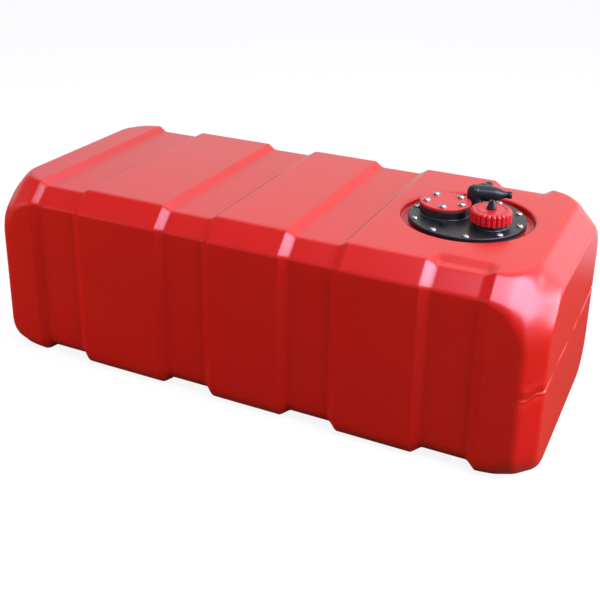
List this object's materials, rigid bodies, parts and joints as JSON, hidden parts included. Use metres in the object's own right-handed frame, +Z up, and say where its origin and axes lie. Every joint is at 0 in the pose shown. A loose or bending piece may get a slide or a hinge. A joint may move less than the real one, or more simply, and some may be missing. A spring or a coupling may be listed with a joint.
{
  "type": "fixed fuel tank",
  "caption": "Long moulded fuel tank with strap bands and a round service plate in a well, carrying a screw filler cap with a vent screw, a blanked sender port and a pick-up elbow.",
  "frame": {"origin": "middle of the tank's underside, on the plane that it stands on", "axes": "+X along the tank towards the end with the service plate, -Y the front, +Z up"},
  "size_m": [0.8, 0.36, 0.2977],
  "materials": {
    "tank_red": "satin moulded polyethylene",
    "plate_black": "satin moulded nylon",
    "fitting_black": "satin moulded nylon",
    "cap_red": "semi-gloss moulded polypropylene",
    "stainless": "polished stainless steel",
    "brass": "turned brass",
    "rubber": "matt nitrile rubber",
    "tube_nylon": "natural nylon"
  },
  "bodies": {
    "tank": {"tank_shell": "tank_red", "plate_inserts": "brass", "plate_gasket": "rubber", "service_plate": "plate_black", "plate_screws": "stainless", "sender_inserts": "brass", "sender_gasket": "rubber", "sender_disc": "cap_red", "sender_washers": "stainless", "sender_screws": "stainless", "pickup_elbow": "fitting_black", "elbow_seal": "rubber", "elbow_nut": "fitting_black", "pickup_tube": "tube_nylon", "strainer_cage": "tube_nylon", "strainer_screen": "stainless", "blanking_plug": "fitting_black", "plug_seal": "rubber"},
    "cap_liner": {"cap_seal": "rubber"},
    "cap": {"filler_cap": "cap_red", "vent_seal": "rubber"},
    "vent": {"vent_screw": "fitting_black"}
  },
  "joints": [
    {"name": "cap_lift", "type": "slide", "parent": "tank", "child": "cap_liner", "axis": [0, 0, 1], "range_m": [0, 0.008]},
    {"name": "cap_turn", "type": "hinge", "parent": "cap_liner", "child": "cap", "pos_m": [0.285, -0.017, 0.2835], "axis": [0, 0, 1], "range_deg": [0, 720]},
    {"name": "vent_turn", "type": "hinge", "parent": "cap", "child": "vent", "pos_m": [0.285, -0.017, 0.2865], "axis": [0, 0, 1], "range_deg": [0, 720]}
  ],
  "couplings": [
    {"joint": "cap_lift", "follows": "cap_turn", "m_per_rad": 0.00063662}
  ]
}
